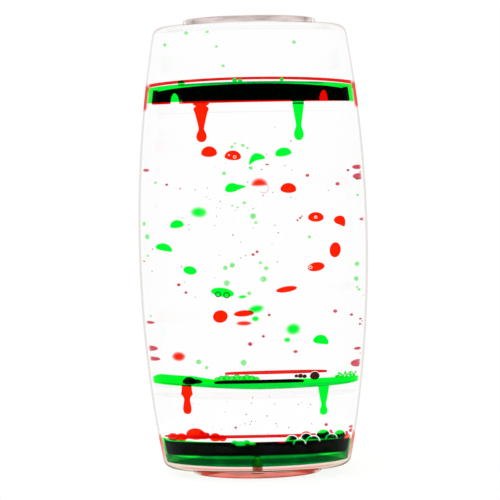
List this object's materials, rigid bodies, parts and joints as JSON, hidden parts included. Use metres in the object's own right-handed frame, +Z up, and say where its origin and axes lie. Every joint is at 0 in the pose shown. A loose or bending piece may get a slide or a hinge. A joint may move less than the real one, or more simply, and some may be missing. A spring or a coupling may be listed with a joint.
{
  "type": "liquid motion timer",
  "caption": "Clear barrel-shaped liquid motion timer: green and red drops leave nozzles, slide down stepped ramps in separate oil chambers and gather in pools below",
  "frame": {"origin": "middle of the base, on the surface that the timer stands on", "axes": "X across the broad face, Y from the front (green circuit) to the rear (red circuit), Z up"},
  "size_m": [0.072, 0.038, 0.142],
  "materials": {
    "clear_case": "clear polished plastic",
    "clear_inner": "clear moulded plastic",
    "clear_oil": "clear mineral oil",
    "plug_plastic": "translucent brown plastic",
    "green_dye": "green dyed water",
    "red_dye": "red dyed water"
  },
  "bodies": {
    "case": {"centre_partition": "clear_inner", "front_clear_oil": "clear_oil", "front_fill_plug": "plug_plastic", "front_lower_cone": "clear_inner", "front_lower_nozzle": "clear_inner", "front_lower_shelf": "clear_inner", "front_ramps": "clear_inner", "front_shell": "clear_case", "front_upper_cone": "clear_inner", "front_upper_nozzle": "clear_inner", "front_upper_shelf": "clear_inner", "green_bottom_pool": "green_dye", "green_droplets": "green_dye", "green_lower_drip": "green_dye", "green_lower_pool": "green_dye", "green_upper_drip": "green_dye", "green_upper_pool": "green_dye", "rear_clear_oil": "clear_oil", "rear_fill_plug": "plug_plastic", "rear_lower_cone": "clear_inner", "rear_lower_nozzle": "clear_inner", "rear_lower_shelf": "clear_inner", "rear_ramps": "clear_inner", "rear_shell": "clear_case", "rear_upper_cone": "clear_inner", "rear_upper_nozzle": "clear_inner", "rear_upper_shelf": "clear_inner", "red_bottom_pool": "red_dye", "red_droplets": "red_dye", "red_lower_drip": "red_dye", "red_lower_pool": "red_dye", "red_upper_drip": "red_dye", "red_upper_pool": "red_dye"},
    "green_drop_1": {"green_drop_1": "green_dye"},
    "green_drop_2": {"green_drop_2": "green_dye"},
    "green_drop_3": {"green_drop_3": "green_dye"},
    "green_drop_5": {"green_drop_5": "green_dye"},
    "green_drop_6": {"green_drop_6": "green_dye"},
    "green_drop_7": {"green_drop_7": "green_dye"},
    "green_drop_8": {"green_drop_8": "green_dye", "green_drop_9": "green_dye"},
    "green_drop_12": {"green_drop_12": "green_dye"},
    "green_drop_4": {"green_drop_4": "green_dye"},
    "green_drop_10": {"green_drop_10": "green_dye"},
    "green_drop_11": {"green_drop_11": "green_dye"},
    "red_drop_1": {"red_drop_1": "red_dye"},
    "red_drop_2": {"red_drop_2": "red_dye"},
    "red_drop_3": {"red_drop_3": "red_dye"},
    "red_drop_4": {"red_drop_4": "red_dye"},
    "red_drop_5": {"red_drop_5": "red_dye"},
    "red_drop_6": {"red_drop_6": "red_dye"},
    "red_drop_8": {"red_drop_8": "red_dye"},
    "red_drop_9": {"red_drop_9": "red_dye"},
    "red_drop_10": {"red_drop_10": "red_dye"},
    "red_drop_11": {"red_drop_11": "red_dye"},
    "red_drop_7": {"red_drop_7": "red_dye"},
    "red_drop_12": {"red_drop_12": "red_dye"}
  },
  "joints": [
    {"name": "green_drop_1_slide", "type": "slide", "parent": "case", "child": "green_drop_1", "axis": [-0.9848, 0, -0.1736], "range_m": [-0.0034, 0.0012]},
    {"name": "green_drop_2_slide", "type": "slide", "parent": "case", "child": "green_drop_2", "axis": [-0.9848, 0, -0.1736], "range_m": [-0.0013, 0.0008]},
    {"name": "green_drop_3_slide", "type": "slide", "parent": "case", "child": "green_drop_3", "axis": [-0.9848, 0, -0.1736], "range_m": [-0.00439, 0.0068]},
    {"name": "green_drop_5_slide", "type": "slide", "parent": "case", "child": "green_drop_5", "axis": [-0.9848, 0, -0.1736], "range_m": [-0.0014, 0.00439]},
    {"name": "green_drop_6_slide", "type": "slide", "parent": "case", "child": "green_drop_6", "axis": [0.9848, 0, -0.1736], "range_m": [-0.0006, 0.0036]},
    {"name": "green_drop_7_slide", "type": "slide", "parent": "case", "child": "green_drop_7", "axis": [0.9848, 0, -0.1736], "range_m": [-0.0018, 0.007]},
    {"name": "green_drop_8_slide", "type": "slide", "parent": "case", "child": "green_drop_8", "axis": [0.9848, 0, -0.1736], "range_m": [-0.0004, 0.003]},
    {"name": "green_drop_12_slide", "type": "slide", "parent": "case", "child": "green_drop_12", "axis": [0.9848, 0, -0.1736], "range_m": [-0.0012, 0.0022]},
    {"name": "green_drop_4_fall", "type": "slide", "parent": "case", "child": "green_drop_4", "axis": [0, 0, -1], "range_m": [-0.0026, 0.0012]},
    {"name": "green_drop_10_fall", "type": "slide", "parent": "case", "child": "green_drop_10", "axis": [0, 0, -1], "range_m": [-0.0012, 0.001]},
    {"name": "green_drop_11_fall", "type": "slide", "parent": "case", "child": "green_drop_11", "axis": [0, 0, -1], "range_m": [-0.0006, 0.0016]},
    {"name": "red_drop_1_slide", "type": "slide", "parent": "case", "child": "red_drop_1", "axis": [0.9848, 0, -0.1736], "range_m": [-0.00039, 0.0012]},
    {"name": "red_drop_2_slide", "type": "slide", "parent": "case", "child": "red_drop_2", "axis": [0.9848, 0, -0.1736], "range_m": [0, 0.00439]},
    {"name": "red_drop_3_slide", "type": "slide", "parent": "case", "child": "red_drop_3", "axis": [0.9848, 0, -0.1736], "range_m": [-0.00039, 0.0012]},
    {"name": "red_drop_4_slide", "type": "slide", "parent": "case", "child": "red_drop_4", "axis": [0.9848, 0, -0.1736], "range_m": [-0.0008, 0.00299]},
    {"name": "red_drop_5_slide", "type": "slide", "parent": "case", "child": "red_drop_5", "axis": [0.9848, 0, -0.1736], "range_m": [-0.00099, 0.0008]},
    {"name": "red_drop_6_slide", "type": "slide", "parent": "case", "child": "red_drop_6", "axis": [0.9848, 0, -0.1736], "range_m": [-0.0006, 0.0028]},
    {"name": "red_drop_8_slide", "type": "slide", "parent": "case", "child": "red_drop_8", "axis": [-0.9848, 0, -0.1736], "range_m": [0, 0.0044]},
    {"name": "red_drop_9_slide", "type": "slide", "parent": "case", "child": "red_drop_9", "axis": [-0.9848, 0, -0.1736], "range_m": [-0.0004, 0.00781]},
    {"name": "red_drop_10_slide", "type": "slide", "parent": "case", "child": "red_drop_10", "axis": [-0.9848, 0, -0.1736], "range_m": [-0.0023, 0.0007]},
    {"name": "red_drop_11_slide", "type": "slide", "parent": "case", "child": "red_drop_11", "axis": [-0.9848, 0, -0.1736], "range_m": [-0.00049, 0.001]},
    {"name": "red_drop_7_fall", "type": "slide", "parent": "case", "child": "red_drop_7", "axis": [0, 0, -1], "range_m": [-0.0008, 0.0007]},
    {"name": "red_drop_12_fall", "type": "slide", "parent": "case", "child": "red_drop_12", "axis": [0, 0, -1], "range_m": [-0.0016, 0.0046]}
  ]
}
